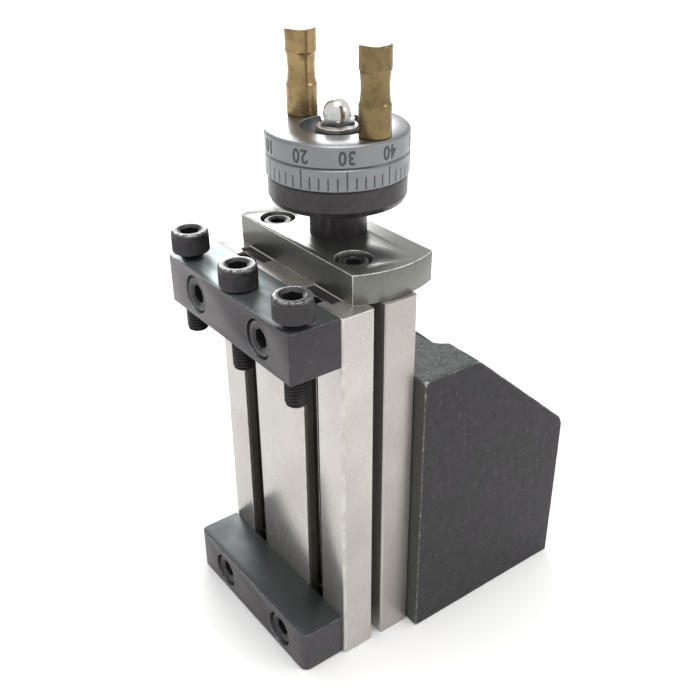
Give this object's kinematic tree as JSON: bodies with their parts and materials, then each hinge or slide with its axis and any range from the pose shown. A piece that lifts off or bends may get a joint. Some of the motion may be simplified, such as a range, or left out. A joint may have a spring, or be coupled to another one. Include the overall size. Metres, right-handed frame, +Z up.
{
  "type": "vertical milling slide",
  "caption": "Vertical slide with a T-slotted table, clamp bar and lower jaw on an angle bracket, raised by a leadscrew with a graduated dial.",
  "frame": {"origin": "middle of the bracket's foot, on its underside", "axes": "+Z up along the slide, -Y the way the T-slotted table faces, +X across the slide"},
  "size_m": [0.0588, 0.081, 0.1422],
  "materials": {
    "cast_iron": "black painted casting, rough",
    "ground_steel": "ground",
    "satin_steel": "satin",
    "bright_steel": "turned",
    "satin_chrome": "satin chrome plate",
    "chrome_plate": "bright plate",
    "black_steel": "black oxide",
    "blued_steel": "black oxide over ground steel",
    "handle_brass": "turned, aged",
    "bronze": "machined"
  },
  "bodies": {
    "bracket": {"angle_bracket": "cast_iron", "dovetail_base": "ground_steel", "base_screws": "black_steel", "feed_nut": "bronze", "feed_nut_screws": "black_steel", "gib_strip": "ground_steel", "gib_screws": "black_steel", "gib_lock_nuts": "bright_steel"},
    "table": {"slide_table": "ground_steel", "end_plate": "satin_steel", "end_plate_screws": "black_steel", "index_collar": "black_steel", "thrust_washers": "bronze"},
    "handwheel": {"leadscrew": "bright_steel", "dial": "satin_chrome", "dial_key": "bright_steel", "dial_washer": "bright_steel", "dome_nut": "chrome_plate", "handle_far": "handle_brass", "handle_near": "handle_brass"},
    "clamp": {"clamp_bar": "blued_steel", "clamp_bar_screws": "black_steel", "clamp_bar_t_nuts": "black_steel"},
    "screw_far": {"clamp_screw_far": "black_steel"},
    "screw_middle": {"clamp_screw_middle": "black_steel"},
    "screw_near": {"clamp_screw_near": "black_steel"},
    "jaw": {"lower_jaw": "blued_steel", "lower_jaw_screws": "black_steel", "lower_jaw_t_nuts": "black_steel"}
  },
  "joints": [
    {"name": "table_slide", "type": "slide", "parent": "bracket", "child": "table", "axis": [0, 0, 1], "range_m": [0, 0.05]},
    {"name": "handwheel_turn", "type": "hinge", "parent": "table", "child": "handwheel", "pos_m": [0, -0.0265, 0.1], "axis": [0, 0, 1], "range_deg": [0, 18000]},
    {"name": "clamp_slide", "type": "slide", "parent": "table", "child": "clamp", "axis": [0, 0, 1], "range_m": [-0.045, 0]},
    {"name": "screw_far_feed", "type": "slide", "parent": "clamp", "child": "screw_far", "axis": [0, 0, 1], "range_m": [-0.001, 0.008]},
    {"name": "screw_middle_feed", "type": "slide", "parent": "clamp", "child": "screw_middle", "axis": [0, 0, 1], "range_m": [-0.0003, 0.008]},
    {"name": "screw_near_feed", "type": "slide", "parent": "clamp", "child": "screw_near", "axis": [0, 0, 1], "range_m": [-0.0005, 0.008]},
    {"name": "jaw_slide", "type": "slide", "parent": "table", "child": "jaw", "axis": [0, 0, 1], "range_m": [0, 0.012]}
  ],
  "couplings": [
    {"joint": "handwheel_turn", "follows": "table_slide", "rad_per_m": 6283.2}
  ]
}
